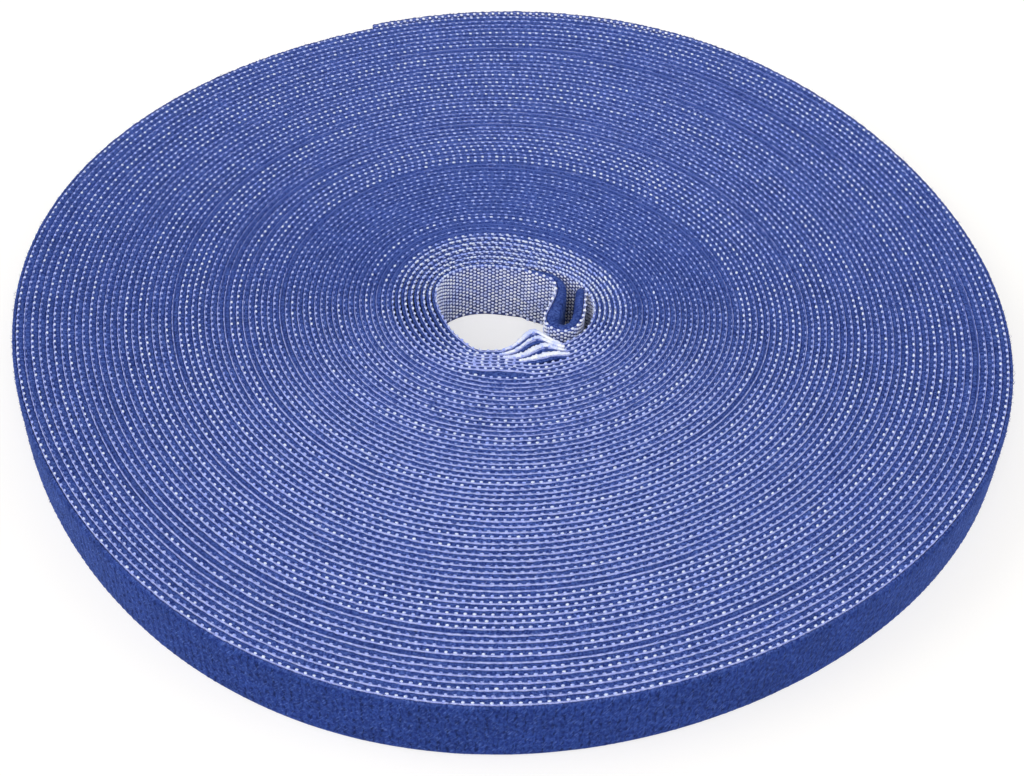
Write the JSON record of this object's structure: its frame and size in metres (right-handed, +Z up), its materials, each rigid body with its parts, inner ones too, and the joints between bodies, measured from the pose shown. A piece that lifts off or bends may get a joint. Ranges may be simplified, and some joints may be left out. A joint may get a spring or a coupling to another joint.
{
  "type": "hook and loop tape roll",
  "caption": "Coreless roll of blue back-to-back hook-and-loop tape lying flat, with a peelable outer end and a hairpin-folded inner end in its open centre.",
  "frame": {"origin": "middle of the roll's box, on the surface that it lies on", "axes": "+Z up along the axis of the winding, -Y towards the viewer of the picture, +X to the viewer's right"},
  "size_m": [0.2143, 0.2152, 0.015],
  "materials": {
    "loop_pile": "brushed nylon loop pile, royal blue, matt and slightly fuzzy",
    "hook_weave": "woven nylon tape, navy ground with close rows of white hooks and a pale selvedge"
  },
  "bodies": {
    "roll": {"hook_ply_winding": "hook_weave", "loop_ply_winding": "loop_pile"},
    "outer_end_1": {"hook_ply_outer_end_1": "hook_weave", "loop_ply_outer_end_1": "loop_pile"},
    "outer_end_2": {"hook_ply_outer_end_2": "hook_weave", "loop_ply_outer_end_2": "loop_pile"},
    "outer_end_3": {"hook_ply_outer_end_3": "hook_weave", "loop_ply_outer_end_3": "loop_pile"},
    "outer_end_4": {"hook_ply_outer_end_4": "hook_weave", "loop_ply_outer_end_4": "loop_pile"},
    "inner_arm": {"hook_ply_inner_arm": "hook_weave", "loop_ply_inner_arm": "loop_pile"},
    "inner_tip": {"hook_ply_inner_tip": "hook_weave", "loop_ply_inner_tip": "loop_pile"}
  },
  "joints": [
    {"name": "outer_end_peel", "type": "hinge", "parent": "roll", "child": "outer_end_1", "pos_m": [0.03254, 0.10348, 0.0075], "axis": [0, 0, -1], "range_deg": [0, 28]},
    {"name": "outer_end_bend_2", "type": "hinge", "parent": "outer_end_1", "child": "outer_end_2", "pos_m": [0.01483, 0.10738, 0.0075], "axis": [0, 0, -1], "range_deg": [0, 28]},
    {"name": "outer_end_bend_3", "type": "hinge", "parent": "outer_end_2", "child": "outer_end_3", "pos_m": [-0.00326, 0.10782, 0.0075], "axis": [0, 0, -1], "range_deg": [0, 28]},
    {"name": "outer_end_bend_4", "type": "hinge", "parent": "outer_end_3", "child": "outer_end_4", "pos_m": [-0.02104, 0.10505, 0.0075], "axis": [0, 0, -1], "range_deg": [0, 28]},
    {"name": "inner_arm_swing", "type": "hinge", "parent": "roll", "child": "inner_arm", "pos_m": [0.0086, 0.00567, 0.0075], "axis": [0, 0, -1], "range_deg": [0, 40]},
    {"name": "inner_tip_squeeze", "type": "hinge", "parent": "inner_arm", "child": "inner_tip", "pos_m": [0.015, -0.00755, 0.0075], "axis": [0, 0, 1], "range_deg": [0, 28]}
  ],
  "couplings": [
    {"joint": "outer_end_bend_2", "follows": "outer_end_peel", "ratio": 1},
    {"joint": "outer_end_bend_3", "follows": "outer_end_peel", "ratio": 1},
    {"joint": "outer_end_bend_4", "follows": "outer_end_peel", "ratio": 1}
  ]
}
